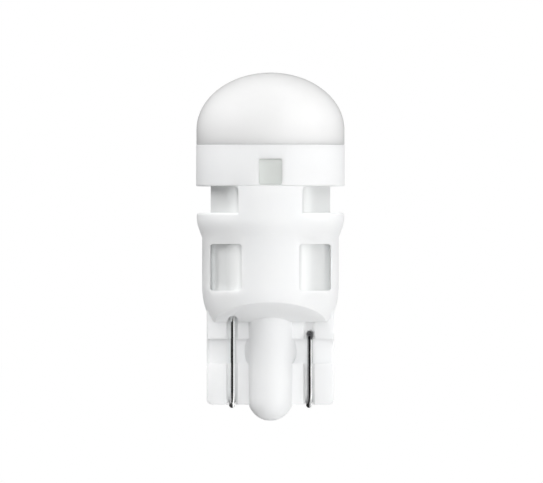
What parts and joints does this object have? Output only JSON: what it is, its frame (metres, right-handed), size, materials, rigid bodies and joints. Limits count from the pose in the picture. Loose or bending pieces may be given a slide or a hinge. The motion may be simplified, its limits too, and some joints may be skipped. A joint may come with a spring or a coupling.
{
  "type": "wedge base led bulb",
  "caption": "Small wedge base LED bulb: opal dome on a white windowed housing, light core inside, flat wedge with bent contact wires.",
  "frame": {"origin": "on the bulb's axis, in the shoulder plane where the flat wedge leaves the barrel", "axes": "+Z along the axis to the dome, +X along the wedge's width, the wedge's front face looks along -Y"},
  "size_m": [0.011, 0.011, 0.026],
  "materials": {
    "white_plastic": "satin white",
    "opal_plastic": "opal, smooth",
    "core_metal": "white coated aluminium",
    "contact_metal": "plated wire",
    "solder": "solder",
    "pin_metal": "plated pin",
    "thermal_pad": "matt",
    "white_board": "white solder mask",
    "green_board": "solder mask",
    "led": "phosphor",
    "black_resin": "moulded",
    "ceramic": "fired",
    "bush_plastic": "moulded"
  },
  "bodies": {
    "root": {"housing": "white_plastic", "diffuser_dome": "opal_plastic", "heat_sink": "core_metal", "thermal_pad": "thermal_pad", "led_board": "white_board", "driver_board": "green_board", "contact_wire_left": "contact_metal", "contact_wire_right": "contact_metal", "wire_solder_left": "solder", "wire_solder_right": "solder", "led_package_1": "led", "led_package_2": "led", "led_package_3": "led", "led_package_4": "led", "link_pin_left": "pin_metal", "link_pin_right": "pin_metal", "pin_bush_left": "bush_plastic", "pin_bush_right": "bush_plastic", "pin_solder_left": "solder", "pin_solder_right": "solder", "surge_diode": "black_resin", "capacitor_front": "ceramic", "capacitor_back": "ceramic", "bridge_rectifier": "black_resin", "driver_chip": "black_resin", "resistor_front_left": "black_resin", "resistor_front_right": "black_resin", "resistor_back": "black_resin"}
  },
  "joints": []
}
